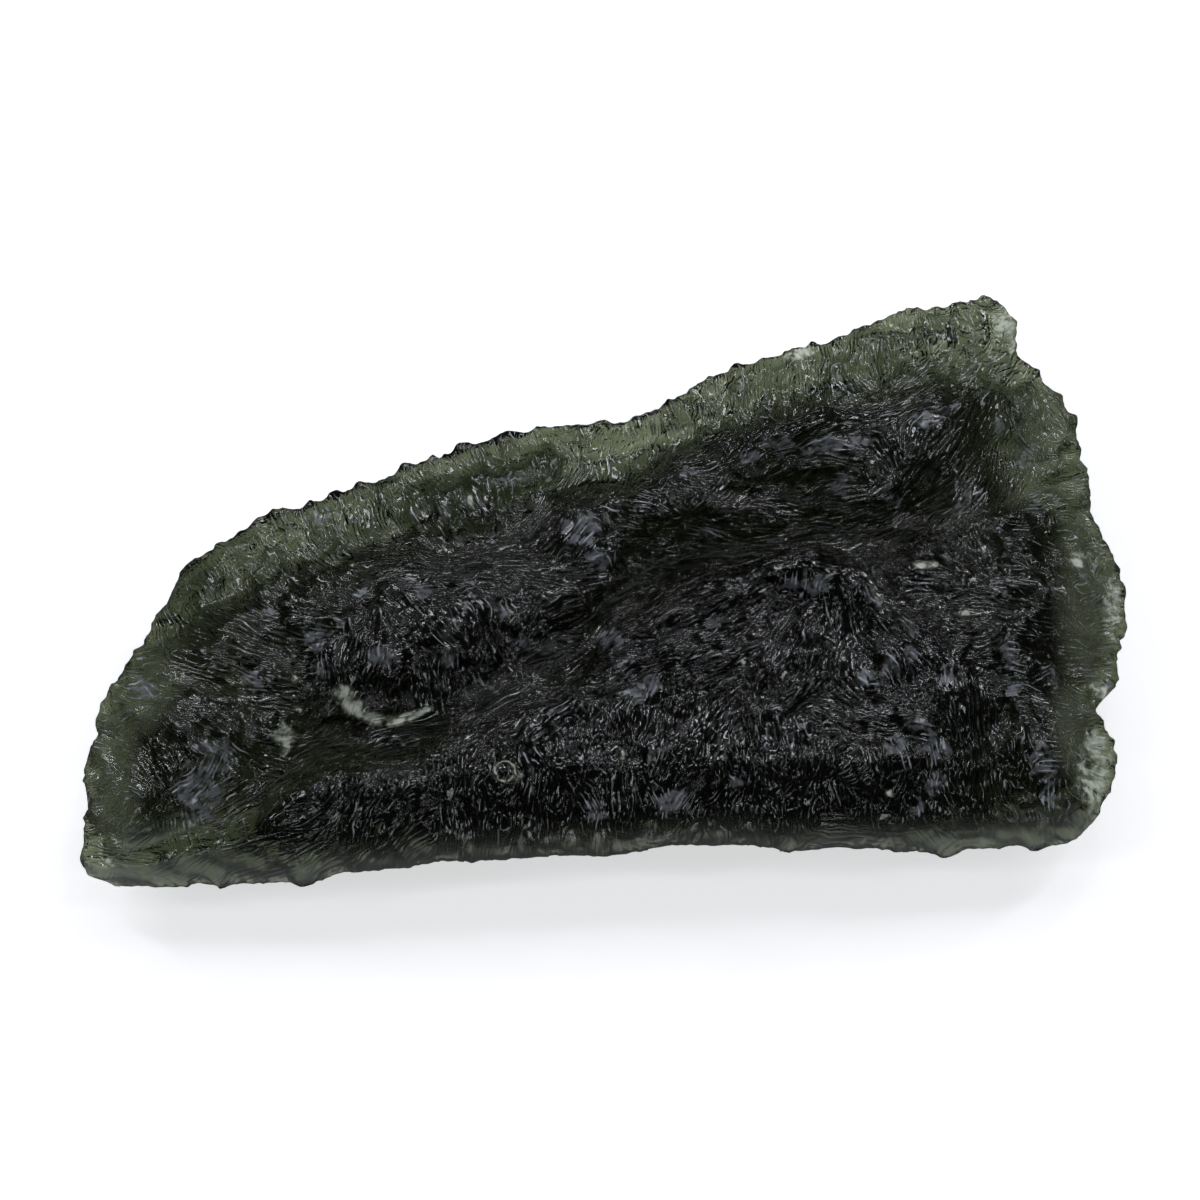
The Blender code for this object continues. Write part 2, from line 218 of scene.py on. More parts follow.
# %% marks on the stone
stone_tree = BVHTree.FromObject(cad_stone, bpy.context.evaluated_depsgraph_get())
camera_right = camera.matrix_world.to_3x3() @ Vector((1, 0, 0))
camera_up = camera.matrix_world.to_3x3() @ Vector((0, 1, 0))


def seen_at(pixel):
    """The point of the stone that the camera sees at a pixel of the photo."""
    across = (pixel[0] - PHOTO_SIZE / 2) * PIXEL
    up = (PHOTO_SIZE / 2 - pixel[1]) * PIXEL
    target = AIM + camera_right * across + camera_up * up
    sight = (target - camera.location).normalized()
    hit = stone_tree.ray_cast(camera.location, sight)[0]
    if hit is None:
        hit = stone_tree.find_nearest(target)[0]
    return np.array(hit)


view_axis = np.array(-toward_camera)


def pixels_of(points):
    """The pixel of the photo at which the camera sees each point."""
    sight = points - np.array(camera.location)
    scale = camera_away / (sight @ view_axis) / PIXEL
    across = PHOTO_SIZE / 2 + sight @ np.array(camera_right) * scale
    down = PHOTO_SIZE / 2 - sight @ np.array(camera_up) * scale
    return np.column_stack([across, down])


# a mark is full up to 0.6 of its half width, and from there an oval fades out over 0.9
# of it and a line over 1.0
MARK_FULL = 0.6
SPOT_FADE = 0.9
STRIP_FADE = 1.0


def line_distance(pixels, line):
    """Each pixel's distance to a line of straight pieces."""
    nearest = np.full(len(pixels), np.inf)
    for start, end in zip(np.array(line[:-1], float), np.array(line[1:], float)):
        along = end - start
        share = np.clip((pixels - start) @ along / (along @ along), 0.0, 1.0)
        gap = pixels - (start + share[:, None] * along)
        nearest = np.minimum(nearest, np.hypot(gap[:, 0], gap[:, 1]))
    return nearest


def fading(far, fade):
    """1 near a mark's middle and 0 beyond its fade, for distances in its half width."""
    return np.clip((MARK_FULL + fade - far) / fade, 0.0, 1.0)


def strips(pixels, marks):
    """1 on and 0 away from marks drawn as lines, each given with its half width."""
    cover = np.zeros(len(pixels))
    for line, half in marks:
        cover = np.maximum(cover, fading(line_distance(pixels, line) / half, STRIP_FADE))
    return cover


def spots(pixels, marks):
    """1 in and 0 outside of oval marks, each given by its middle, half sizes and turn."""
    cover = np.zeros(len(pixels))
    for middle, (half_across, half_down), turn in marks:
        angle = math.radians(turn)
        gap = pixels - middle
        across = gap[:, 0] * math.cos(angle) - gap[:, 1] * math.sin(angle)
        down = gap[:, 0] * math.sin(angle) + gap[:, 1] * math.cos(angle)
        far = np.hypot(across / half_across, down / half_down)
        cover = np.maximum(cover, fading(far, SPOT_FADE))
    return cover


middle_seen = [round(float(value) / MM, 1) for value in seen_at((600, 600))]
print("the picture's middle shows the stone at", middle_seen, "mm")

# %% [markdown]
# ## The flow of the grooves
# Acid followed the stone's old flow lines, so its grooves run like combed hair. The directions
# are strokes drawn over the picture. Between the strokes the direction is blended by angle
# doubling, because a groove has no front end.

# %% the strokes
STROKES = [
    # the main valley and the bands beside it
    [(192, 839), (259, 801), (304, 768), (361, 745), (412, 730), (480, 712), (515, 700),
     (560, 668), (600, 630)],
    [(150, 866), (215, 848), (290, 806)],
    [(510, 717), (566, 690), (620, 668), (680, 648)],
    [(543, 617), (580, 600), (622, 584), (700, 572), (800, 559), (873, 545), (924, 542)],
    [(600, 625), (640, 590), (700, 566), (755, 556), (806, 548), (863, 535), (893, 520)],
    [(735, 512), (768, 514), (814, 527), (852, 527)],
    [(893, 527), (924, 507), (949, 474), (975, 443), (990, 430)],
    [(271, 819), (297, 793)],
    [(322, 788), (348, 760)],
    # the upper valley and the slopes above it
    [(373, 566), (430, 560), (480, 559), (515, 556), (545, 530), (560, 505), (590, 480)],
    [(400, 568), (515, 568), (553, 584), (612, 588)],
    [(284, 559), (310, 584)],
    [(240, 560), (252, 585)],
    [(361, 515), (371, 548)],
    [(399, 515), (412, 543)],
    [(437, 508), (450, 533)],
    [(480, 470), (495, 500)],
    [(530, 460), (542, 490)],
    [(590, 445), (598, 475)],
    [(640, 440), (645, 470)],
    [(630, 500), (660, 520), (700, 530)],
    [(690, 515), (720, 540)],
    # the left end
    [(180, 600), (200, 620)],
    [(131, 676), (169, 663)],
    [(208, 633), (243, 653), (284, 663)],
    [(111, 704), (164, 704), (218, 727), (246, 732), (264, 742)],
    [(164, 730), (177, 745)],
    [(243, 745), (264, 776)],
    [(105, 770), (140, 778)],
    [(105, 814), (131, 824)],
    [(100, 855), (150, 862)],
    [(200, 770), (190, 810)],
    # the lumps between the valleys
    [(304, 612), (327, 625), (350, 617)],
    [(368, 589), (394, 612)],
    [(381, 620), (384, 666)],
    [(409, 610), (450, 643)],
    [(432, 653), (437, 679)],
    [(394, 666), (399, 694)],
    [(350, 640), (345, 675)],
    [(464, 607), (485, 640), (502, 679)],
    [(425, 590), (470, 625)],
    [(560, 640), (590, 650)],
    # the dark mass at the lower right
    [(490, 755), (490, 820)],
    [(540, 745), (540, 830)],
    [(590, 740), (588, 825)],
    [(640, 715), (636, 740)],
    [(650, 760), (645, 830)],
    [(681, 650), (719, 645)],
    [(690, 700), (680, 760)],
    [(719, 742), (706, 780)],
    [(757, 704), (745, 755), (748, 820)],
    [(770, 730), (783, 768)],
    [(773, 658), (745, 694)],
    [(730, 622), (700, 640)],
    [(783, 622), (765, 660)],
    [(827, 643), (819, 666)],
    [(806, 700), (822, 690), (840, 700)],
    [(845, 745), (852, 765)],
    [(800, 770), (800, 830)],
    [(850, 790), (855, 830)],
    [(900, 790), (905, 830)],
    [(875, 717), (909, 712)],
    [(845, 680), (852, 700)],
    # the folds under the diagonal ridge
    [(852, 582), (916, 638)],
    [(873, 584), (909, 622)],
    [(921, 610), (975, 617)],
    [(845, 600), (838, 640)],
    [(934, 633), (1005, 633)],
    [(947, 663), (949, 689)],
    [(967, 684), (975, 719)],
    [(960, 730), (975, 793)],
    [(985, 742), (1000, 806)],
    [(1030, 740), (1042, 800)],
    # the shelf along the far edge
    [(660, 425), (668, 450)],
    [(700, 410), (710, 440)],
    [(740, 395), (748, 425)],
    [(786, 377), (789, 405)],
    [(825, 365), (832, 395)],
    [(858, 349), (865, 374)],
    [(895, 335), (905, 365)],
    [(935, 330), (942, 355)],
    [(975, 315), (978, 345)],
    [(909, 400), (942, 379), (960, 364)],
    [(883, 418), (924, 402), (972, 379)],
    [(730, 453), (776, 433), (837, 420), (893, 415)],
    [(660, 470), (700, 462), (730, 453)],
    [(952, 397), (990, 377)],
    [(781, 453), (768, 476)],
    [(740, 465), (730, 490)],
    [(880, 450), (890, 470)],
    [(920, 440), (935, 415)],
    # the right margin
    [(980, 512), (1010, 479)],
    [(1000, 430), (1020, 460)],
    [(1035, 400), (1050, 430)],
    [(1040, 480), (1080, 470)],
    [(1018, 530), (1060, 540)],
    [(1018, 545), (1075, 570)],
    [(1010, 590), (1075, 615)],
    [(1010, 620), (1075, 650)],
    [(1040, 660), (1080, 690)],
    [(1085, 560), (1118, 575)],
    [(1090, 640), (1122, 645)],
    [(985, 560), (995, 600)],
    [(1080, 730), (1108, 740)],
    [(1085, 790), (1100, 800)],
]
STROKE_REACH = 1.1 * MM
# the belly isn't seen, so its grooves just swirl, in waves about this long
BELLY_SWIRL = 6.0 * MM
BELLY_FACES = -0.2

stroke_pairs = [pair for stroke in STROKES for pair in zip(stroke[:-1], stroke[1:])]
stroke_ends = np.array([[seen_at(a)[:2], seen_at(b)[:2]] for a, b in stroke_pairs])
stroke_middles = stroke_ends.mean(axis=1)
stroke_lines = stroke_ends[:, 1] - stroke_ends[:, 0]
stroke_angles = np.arctan2(stroke_lines[:, 1], stroke_lines[:, 0])
stroke_halves = np.linalg.norm(stroke_lines, axis=1) / 2


def flow_at(points, normals):
    """The direction of the grooves at points of the stone, lying in its surface."""
    double = np.zeros((len(points), 2))
    for middle, angle, half in zip(stroke_middles, stroke_angles, stroke_halves):
        offset = points[:, :2] - middle
        ahead = offset @ (math.cos(angle), math.sin(angle))
        beside = offset @ (-math.sin(angle), math.cos(angle))
        ahead = np.maximum(np.abs(ahead) - half, 0.0)
        # the small share gives a point that is far from all strokes a direction too
        weight = np.exp(-(ahead**2 + beside**2) / STROKE_REACH**2) + 1e-9
        double += weight[:, None] * (math.cos(2 * angle), math.sin(2 * angle))
    angles = np.arctan2(double[:, 1], double[:, 0]) / 2
    belly_angles = 1.3 * np.sin(points[:, 0] / BELLY_SWIRL)
    belly_angles += 0.9 * np.cos(points[:, 1] / BELLY_SWIRL)
    angles = np.where(normals[:, 2] > BELLY_FACES, angles, belly_angles)
    flow = np.column_stack([np.cos(angles), np.sin(angles), np.zeros(len(points))])
    # on a steep wall the grooves run straight down
    wall = np.clip((0.55 - np.abs(normals[:, 2])) / 0.3, 0.0, 1.0)[:, None]
    flow = flow * (1 - wall) + wall * np.array((0.0, 0.0, 1.0))
    flow -= normals * (flow * normals).sum(axis=1)[:, None]
    return flow / np.linalg.norm(flow, axis=1)[:, None]


print("the grooves follow", len(STROKES), "strokes")

# %% [markdown]
# ## The etching
# Acid eats glass in cups. Neighbouring cups meet in sharp crests, and a cup that is drawn
# out along the flow is a groove. So every mark here is a cup: a dish that is lowest at
# its middle. The skin at a point is the lowest of all the cups that reach it.

# %% cups
# a cup's height is 0 in its middle and 1 at its half length and half width, and the
# crests between the cups are cut off at this height
CUP_TOP = 1.25
# how far a cup reaches through the stone, in half widths
CUP_REACH = 1.6


def scattered(points, spacing, chance):
    """The numbers of points about a spacing apart: one from each cell of a grid."""
    order = chance.permutation(len(points))
    cells = np.floor(points[order] / spacing + chance.uniform(size=3)).astype(np.int64)
    cells -= cells.min(axis=0)
    # each cell's three numbers as one, which no other cell has
    keys = (cells[:, 0] * 100000 + cells[:, 1]) * 1000 + cells[:, 2]
    return order[np.unique(keys, return_index=True)[1]]


def cup_floor(points, middles, normals, along, lengths, widths, lift):
    """0 at the bottom of a cup and near 1 on the crests between the cups, at each point."""
    # the points are sorted into square cells, so that each cup meets only those near it
    cell = lengths.max() * 0.75
    reach = 2
    corner = points[:, :2].min(axis=0)
    cells = np.floor((points[:, :2] - corner) / cell).astype(np.int64)
    rows_in_column = cells[:, 1].max() + 3
    keys = cells[:, 0] * rows_in_column + cells[:, 1]
    order = np.argsort(keys, kind="stable")
    sorted_keys = keys[order]
    sorted_points = points[order].astype(np.float32)
    lowest = np.full(len(points), CUP_TOP, dtype=np.float32)
    across = np.cross(normals, along)
    for i in range(len(middles)):
        column, row = np.floor((middles[i, :2] - corner) / cell).astype(np.int64)
        for near in range(column - reach, column + reach + 1):
            first = near * rows_in_column + row - reach
            start, end = np.searchsorted(sorted_keys, (first, first + 2 * reach + 1))
            if start == end:
                continue
            gap = sorted_points[start:end] - middles[i]
            height = (gap @ along[i] / lengths[i]) ** 2
            height += (gap @ across[i] / widths[i]) ** 2
            height += (gap @ normals[i] / (CUP_REACH * widths[i])) ** 2 + lift[i]
            np.minimum(lowest[start:end], height, out=lowest[start:end])
    unsorted = np.empty(len(points), dtype=np.float32)
    unsorted[order] = lowest
    return unsorted


# %% the skin before etching
# the near edge has a smooth band round it, which ends this high
BAND_TOP = 5.6 * MM
BAND_FADE = 1.8 * MM


def mesh_values(collection, name, width, kind=np.float64):
    """A property of every vertex, face or corner, as rows of this width."""
    values = np.empty(len(collection) * width, dtype=kind)
    collection.foreach_get(name, values)
    return values.reshape(-1, width) if width > 1 else values


def write_attribute(name, values):
    """Puts one number on each point of the stone, where its material can read it."""
    attribute = stone.data.attributes.new(name, "FLOAT", "POINT")
    attribute.data.foreach_set("value", values.astype(np.float32))


mesh = stone.data
points = mesh_values(mesh.vertices, "co", 3)
normals = mesh_values(mesh.vertex_normals, "vector", 3)
# 1 where the skin stands upright and 0 where it lies nearly level
on_edge = np.clip(1.0 - np.abs(normals[:, 2]) / 0.8, 0.0, 1.0)
# 1 where it faces the near side
near_side = np.clip((-normals[:, 1] - 0.3) / 0.3, 0.0, 1.0)
band = near_side * np.clip((BAND_TOP - points[:, 2]) / BAND_FADE, 0.0, 1.0)
band *= np.clip((normals[:, 2] + 0.5) / 0.3, 0.0, 1.0)
print("the near edge's band covers", round(100 * band.mean(), 1), "% of the stone")

# %% [markdown]
# ## Where the skin differs
# The valleys are quiet, smooth but for their grooves. On the high spots the skin is worn flat,
# rough and frosted, and painted blue-grey as a painted reflection of the lamps. A few thin flakes
# are chipped and frosted nearly white. The largest is a crescent, a chipped lip that is painted
# nearly white as a painted highlight where its underside is lit, and the ring round a bubble is a
# painted highlight of its rim. The lobes at the right end are painted pale as a painted glow of
# light through their thin glass, and the skin of both ends is milky.
# All of these are ovals and lines drawn over the picture. The numbers of an oval are its middle,
# its half width and height, and its turn in degrees.

# %% valleys, worn spots and chips
SMOOTH_VALLEYS = [
    ([(170, 862), (215, 830), (264, 792), (340, 748), (430, 730), (500, 702), (560, 668),
      (620, 604), (690, 562), (770, 551), (860, 548), (950, 524), (1005, 470)], 26),
    ([(373, 562), (430, 556), (480, 555), (520, 545), (556, 510), (600, 472)], 20),
    ([(520, 575), (560, 590), (620, 590)], 14),
    ([(965, 560), (985, 620), (978, 700), (985, 780)], 16),
    ([(735, 500), (785, 500), (850, 492)], 18),
    ([(868, 582), (905, 617), (975, 625)], 12),
    ([(900, 500), (950, 455), (980, 425)], 16),
    ([(200, 575), (228, 600), (262, 640)], 22),
]
# worn spots are rough, and their blue-grey is a painted reflection of the lamps on facets that
# face them
WORN_SHEEN_SPOTS = [
    ((1010, 653), (10, 18), 15), ((1013, 689), (9, 8), 0), ((1049, 673), (7, 11), 20),
    ((1046, 765), (12, 28), 20), ((1052, 800), (9, 10), 0), ((934, 745), (13, 18), 35),
    ((937, 781), (10, 15), -10), ((916, 724), (12, 9), 0), ((896, 745), (13, 13), 0),
    ((865, 676), (12, 10), 0), ((947, 676), (8, 12), 0), ((814, 587), (15, 11), 0),
    ((791, 584), (11, 10), 0), ((824, 576), (14, 5), 0), ((873, 597), (17, 7), -40),
    ((906, 624), (14, 7), -45), ((890, 668), (9, 16), 0), ((909, 655), (9, 9), 0),
    ((801, 724), (7, 6), 0), ((738, 782), (10, 5), 0), ((916, 811), (13, 6), 30),
    ((584, 528), (22, 16), 0), ((599, 559), (15, 11), 0), ((502, 611), (14, 9), -20),
    ((528, 643), (9, 9), 0), ((609, 638), (14, 11), 0), ((448, 657), (11, 9), 0),
    ((464, 607), (8, 6), 0), ((489, 686), (14, 6), -30), ((671, 803), (17, 15), 0),
    ((716, 622), (10, 7), 0), ((635, 696), (10, 8), 0), ((650, 686), (14, 9), 20),
    ((596, 811), (11, 12), 0), ((706, 536), (14, 7), 0), ((200, 792), (26, 26), 0),
    ((215, 757), (22, 17), 20), ((317, 638), (15, 11), 0), ((322, 670), (10, 10), 0),
    ((266, 612), (10, 5), 0), ((256, 679), (13, 10), 0), ((363, 594), (8, 6), 0),
    ((422, 592), (11, 8), 0), ((340, 622), (8, 6), 0), ((322, 515), (17, 7), 15),
    ((144, 689), (16, 10), 0), ((842, 486), (12, 11), 0), ((832, 446), (28, 9), 8),
    ((863, 438), (19, 7), 8), ((776, 443), (15, 8), 8), ((755, 456), (13, 7), 8),
    ((893, 502), (8, 7), 0), ((962, 505), (6, 15), -30), ((926, 418), (19, 9), 15),
    ((1000, 428), (7, 11), 0), ((1034, 504), (5, 12), 0), ((1026, 458), (5, 13), -30),
    ((510, 480), (20, 8), 10), ((690, 470), (10, 6), 10), ((380, 655), (16, 12), 0),
]
# the crescent is a chipped lip whose lit underside is a painted highlight; it is wide at its left
# end and thins out
CRESCENT_CHIP_AND_HIGHLIGHT = [
    ([(342, 692), (354, 706)], 9), ([(354, 706), (372, 718)], 7),
    ([(372, 718), (392, 722)], 6), ([(392, 722), (414, 716)], 5), ([(414, 716), (430, 708)], 3),
]
CHIPS = [
    ((284, 734), (11, 11), 0), ((285, 749), (5, 8), -20), ((295, 679), (3, 5), -15),
    ((926, 565), (13, 4), 4), ((967, 613), (12, 3), 4), ((550, 480), (5, 3), 0),
    ((470, 500), (3, 11), 10), ((622, 757), (3, 8), -10), ((800, 354), (17, 6), 15),
    ((1011, 345), (5, 12), 0), ((352, 564), (3, 3), 0), ((618, 693), (3, 3), 0),
    ((923, 720), (4, 3), 0), ((890, 794), (4, 4), 0), ((743, 662), (3, 3), 0),
    ((299, 710), (3, 5), 30), ((112, 862), (9, 5), -20), ((518, 778), (3, 7), -35),
]
# painted glow: the thin lobes are painted pale for light shining through them
PAINTED_GLOW_LOBES = [
    ((1094, 768), (18, 46), 0), ((1112, 610), (10, 36), 0), ((1004, 322), (14, 18), 0),
    ((1100, 690), (14, 10), 0), ((1078, 560), (10, 12), 0),
]
LOBE_GLOW = 0.85
MILKY_ENDS = [
    ((1088, 590), (26, 110), 0), ((1072, 725), (18, 40), 0), ((112, 780), (24, 80), 0),
    ((150, 690), (24, 40), -30), ((1040, 430), (20, 60), -20),
]
# the bubble's middle and sizes in pixels; its pit is carved, and the ring round it is a painted
# highlight of its rim
BUBBLE = (505, 771)
BUBBLE_RADIUS = 12
PAINTED_RING_RADIUS = 10
PAINTED_RING_HALF = 1.4


def marks_at(points, normals):
    """How much each point is in a smooth valley, worn and painted with sheen, chipped and painted
    with light, and milky, from 0 to 1.
    """
    pixels = pixels_of(points)
    # the marks stay off the belly, which the camera doesn't see
    seen = np.clip((normals @ -view_axis - 0.05) / 0.15, 0.0, 1.0)
    valley = strips(pixels, SMOOTH_VALLEYS)
    worn_and_sheen = spots(pixels, WORN_SHEEN_SPOTS)
    chips_and_painted_light = np.maximum(spots(pixels, CHIPS), strips(pixels, CRESCENT_CHIP_AND_HIGHLIGHT))
    off_ring = np.abs(np.hypot(*(pixels - BUBBLE).T) - PAINTED_RING_RADIUS)
    chips_and_painted_light = np.maximum(chips_and_painted_light, fading(off_ring / PAINTED_RING_HALF, STRIP_FADE))
    chips_and_painted_light = np.maximum(chips_and_painted_light, LOBE_GLOW * spots(pixels, PAINTED_GLOW_LOBES))
    return valley * seen, worn_and_sheen * seen, chips_and_painted_light * seen, spots(pixels, MILKY_ENDS)


valley, worn_and_sheen, chips_and_painted_light, milky = marks_at(points, normals)
print("worn skin:", round(100 * worn_and_sheen.mean(), 1), "% of the stone")

# %% etch the cups
# how far apart the cups of each kind are, and their depth
LUMP = 1.3 * MM
LUMP_DEPTH = 0.44 * MM
RIDGE = 0.75 * MM
RIDGE_DEPTH = 0.15 * MM
PIT = 0.50 * MM
PIT_DEPTH = 0.15 * MM
# a ridge's half length and half width
RIDGE_LENGTH = 1.30 * MM
RIDGE_HALF = 0.34 * MM
# how far the cups stray from the flow in radians, how their sizes vary, and how far the
# shallowest is lifted
STRAY = 0.16
SIZES = (0.75, 1.3)
LIFT = 0.3


def etched(spacing, length, width, seed):
    """The cup height over the stone for cups of one kind, of which no two are alike."""
    chance = np.random.default_rng(seed)
    chosen = scattered(points, spacing, chance)
    flow = flow_at(points[chosen], normals[chosen])
    turn = chance.normal(0.0, STRAY, len(chosen))[:, None]
    flow = flow * np.cos(turn) + np.cross(normals[chosen], flow) * np.sin(turn)
    size = chance.uniform(*SIZES, len(chosen))
    lift = chance.uniform(0.0, LIFT, len(chosen))
    print("cups", round(2 * width / MM, 2), "mm wide:", len(chosen))
    return cup_floor(
        points, points[chosen], normals[chosen], flow, length * size, width * size, lift
    )


lumps = etched(LUMP, LUMP * 0.85, LUMP * 0.52, 3)
ridges = etched(RIDGE, RIDGE_LENGTH, RIDGE_HALF, 5)
pits = etched(PIT, PIT * 0.62, PIT * 0.5, 7)

# %% move the skin
# the cup height that leaves the skin where it was
LEVEL = 0.6
BUBBLE_DEPTH = 0.25 * MM
# the middle of the near edge swells out a little
SWELL = 0.32 * MM
SWELL_MIDDLE = 2.0 * MM
SWELL_HALF = 12.0 * MM
CREST_STARTS = 0.75
# the belly's etching fades out below this height, so the flat rest spot stays flat
REST_HEIGHT = 0.35 * MM

# the etching is shallower on walls, on worn spots, in the band and most of all in valleys
calm = (1 - 0.6 * on_edge) * (1 - 0.4 * worn_and_sheen) * (1 - 0.6 * band)
skin = calm * (1 - 0.8 * valley) * LUMP_DEPTH * (lumps - LEVEL)
skin += calm * (1 - 0.7 * valley) * RIDGE_DEPTH * (ridges - LEVEL)
# the pits are nearly only on walls
skin += (0.1 + 0.9 * on_edge) * (1 - valley) * (1 - 0.5 * band) * PIT_DEPTH * (pits - LEVEL)
bubble_far = np.hypot(*(pixels_of(points) - BUBBLE).T) / BUBBLE_RADIUS
in_bubble = (bubble_far < 1) & (normals[:, 2] > 0.3)
skin = np.where(in_bubble, -BUBBLE_DEPTH * np.sqrt(np.maximum(1 - bubble_far**2, 0)), skin)
swell = np.exp(-(((points[:, 0] - SWELL_MIDDLE) / SWELL_HALF) ** 4))
skin += SWELL * swell * near_side * np.clip((normals[:, 2] + 0.7) / 0.5, 0.0, 1.0)
crests = np.clip((lumps - CREST_STARTS) / (1 - CREST_STARTS), 0, 1)
crests *= (1 - valley) * (1 - on_edge)
write_attribute("crest", crests)
write_attribute("band", band)
rest_spot = np.clip(points[:, 2] / REST_HEIGHT, 0.0, 1.0)
skin *= np.where(normals[:, 2] < -0.5, rest_spot, 1.0)
points = points + normals * skin[:, None]
points[:, 2] = np.maximum(points[:, 2], 0.0)
mesh.vertices.foreach_set("co", points.ravel())
mesh.update()
print("the skin moved by up to", round(np.abs(skin).max() / MM, 2), "mm")

# %% thin the mesh
TRIANGLES = 194000

bpy.ops.object.select_all(action="DESELECT")
stone.select_set(True)
bpy.context.view_layer.objects.active = stone
triangles_now = sum(len(face.vertices) - 2 for face in mesh.polygons)
thinned = stone.modifiers.new("thinned", "DECIMATE")
thinned.ratio = TRIANGLES / triangles_now
bpy.ops.object.modifier_apply(modifier="thinned")
evened = stone.modifiers.new("evened", "SMOOTH")
evened.factor = 0.5
evened.iterations = 2
bpy.ops.object.modifier_apply(modifier="evened")
bpy.ops.object.shade_smooth()
print("the stone has", sum(len(f.vertices) - 2 for f in stone.data.polygons), "triangles")

# %% [markdown]
# ## The finest grooves
# The finest grooves are a quarter of a millimetre apart, too fine for the mesh, so they
# are bump in the glass: dishes side by side that meet in sharp crests and sway a little.
# A pattern needs to know which way is along the flow at each place, so every few square
# millimetres of skin get their own small UV patch, turned to the flow. Two layers of such
# patches are laid, and where one layer has a seam the other shows.

# %% comb the skin
# one unit of the pattern is a groove wide, and this long along the groove
FINE_WIDTH = 0.26 * MM
FINE_LENGTH = 2.0 * MM
# how far apart the patches are, and how near a seam the other layer begins to show
PATCH = 1.9 * MM
SEAM = 0.3 * MM
# how many places are compared with all patches at a time, to save memory
BATCH = 8000

mesh = stone.data
mesh.update()
skin_points = mesh_values(mesh.vertices, "co", 3)
skin_normals = mesh_values(mesh.vertex_normals, "vector", 3)
face_middles = mesh_values(mesh.polygons, "center", 3)
face_normals = mesh_values(mesh.polygons, "normal", 3)
corner_points = mesh_values(mesh.loops, "vertex_index", 1, np.int32)
face_corners = mesh_values(mesh.polygons, "loop_total", 1, np.int32)
corner_faces = np.repeat(np.arange(len(mesh.polygons)), face_corners)


def two_nearest(places, normals, patch_places, patch_normals):
    """Each place's nearest patch, and how much further away the next patch is."""
    # a patch that faces another way counts as further off
    rows = np.hstack([places, normals * MM]).astype(np.float32) / MM
    patches = np.hstack([patch_places, patch_normals * MM]).astype(np.float32) / MM
    owner = np.empty(len(rows), dtype=np.int64)
    margin = np.empty(len(rows))
    for start in range(0, len(rows), BATCH):
        part = rows[start : start + BATCH]
        far = (part**2).sum(axis=1)[:, None] + (patches**2).sum(axis=1) - 2 * part @ patches.T
        two = np.argpartition(far, 2, axis=1)[:, :2]
        two_far = np.sqrt(np.maximum(np.take_along_axis(far, two, axis=1), 0))
        first = two_far.argmin(axis=1)
        owner[start : start + BATCH] = two[np.arange(len(part)), first]
        margin[start : start + BATCH] = np.abs(two_far[:, 0] - two_far[:, 1]) * MM
    return owner, margin


def comb(name, seed):
    """Lays one layer of UV patches and returns how far each point is from a seam."""
    chance = np.random.default_rng(seed)
    chosen = scattered(face_middles, PATCH, chance)
    places, facing = face_middles[chosen], face_normals[chosen]
    along = flow_at(places, facing)
    across = np.cross(facing, along)
    # each patch shows another part of the pattern
    shift = chance.uniform(0, 100, (len(chosen), 2))
    owner = two_nearest(face_middles, face_normals, places, facing)[0][corner_faces]
    gap = skin_points[corner_points] - places[owner]
    u = (gap * across[owner]).sum(axis=1) / FINE_WIDTH + shift[owner, 0]
    v = (gap * along[owner]).sum(axis=1) / FINE_LENGTH + shift[owner, 1]
    layer = mesh.uv_layers.new(name=name)
    layer.uv.foreach_set("vector", np.column_stack([u, v]).astype(np.float32).ravel())
    print(name, "has", len(chosen), "patches")
    return two_nearest(skin_points, skin_normals, places, facing)[1]


first_margin = comb("combed_first", 21)
comb("combed_second", 22)
write_attribute("shows_first", np.clip(first_margin / SEAM, 0, 1))

# %% mark the worn spots, chips and painted light for the material
# how worn the crests of the lumps are, and how much painted sheen they get
CREST_WEAR_AND_SHEEN = 0.40

valley, worn_and_sheen, chips_and_painted_light, milky = marks_at(skin_points, skin_normals)
crests = mesh_values(mesh.attributes["crest"].data, "value", 1, np.float32)
worn_and_sheen = np.maximum(worn_and_sheen, CREST_WEAR_AND_SHEEN * crests)
write_attribute("valley", valley)
write_attribute("worn_and_sheen", worn_and_sheen)
write_attribute("chips_and_painted_light", chips_and_painted_light)
write_attribute("milky", milky)
print("the material can read", len(mesh.attributes), "attributes")

# %% [markdown]
# ## The glass
# The stone is silica glass, bottle green from a little iron. Light is lost on the way through it,
# so thin edges are olive and the thick middle is black. That is what an absorbing volume gives.
# The skin is glossy inside the grooves. Short lengths of their crests are painted pale blue-grey
# frost, as painted glints of the lamps. The worn spots are frosted more softly and painted
# blue-grey, as a painted reflection of the lamps. The chips are nearly white, and so are the
# painted highlights of the crescent and the bubble's ring and the painted glow of the thin lobes.
# Light that meets frosted glass is scattered and not let through, so the more a place is frosted,
# painted light included, the less of the glass there is see-through.

# %% etched natural glass
GLASS_IOR = 1.49
# per metre of glass, for red, green and blue light
LOSS_PER_METRE = (735.0, 690.0, 800.0)

stone.data.materials.clear()
glass = bpy.data.materials.new("etched_natural_glass")
glass.use_nodes = True
tree = glass.node_tree
shader = tree.nodes["Principled BSDF"]
shader.inputs["IOR"].default_value = GLASS_IOR


def add_node(kind, inputs, output=0, **settings):
    """Adds a node to the glass with its inputs' values or links, and returns an output."""
    node = tree.nodes.new("ShaderNode" + kind)
    for name, value in settings.items():
        setattr(node, name, value)
    for key, value in inputs.items():
        if isinstance(value, bpy.types.NodeSocket):
            tree.links.new(value, node.inputs[key])
        else:
            node.inputs[key].default_value = value
    return node.outputs[output]


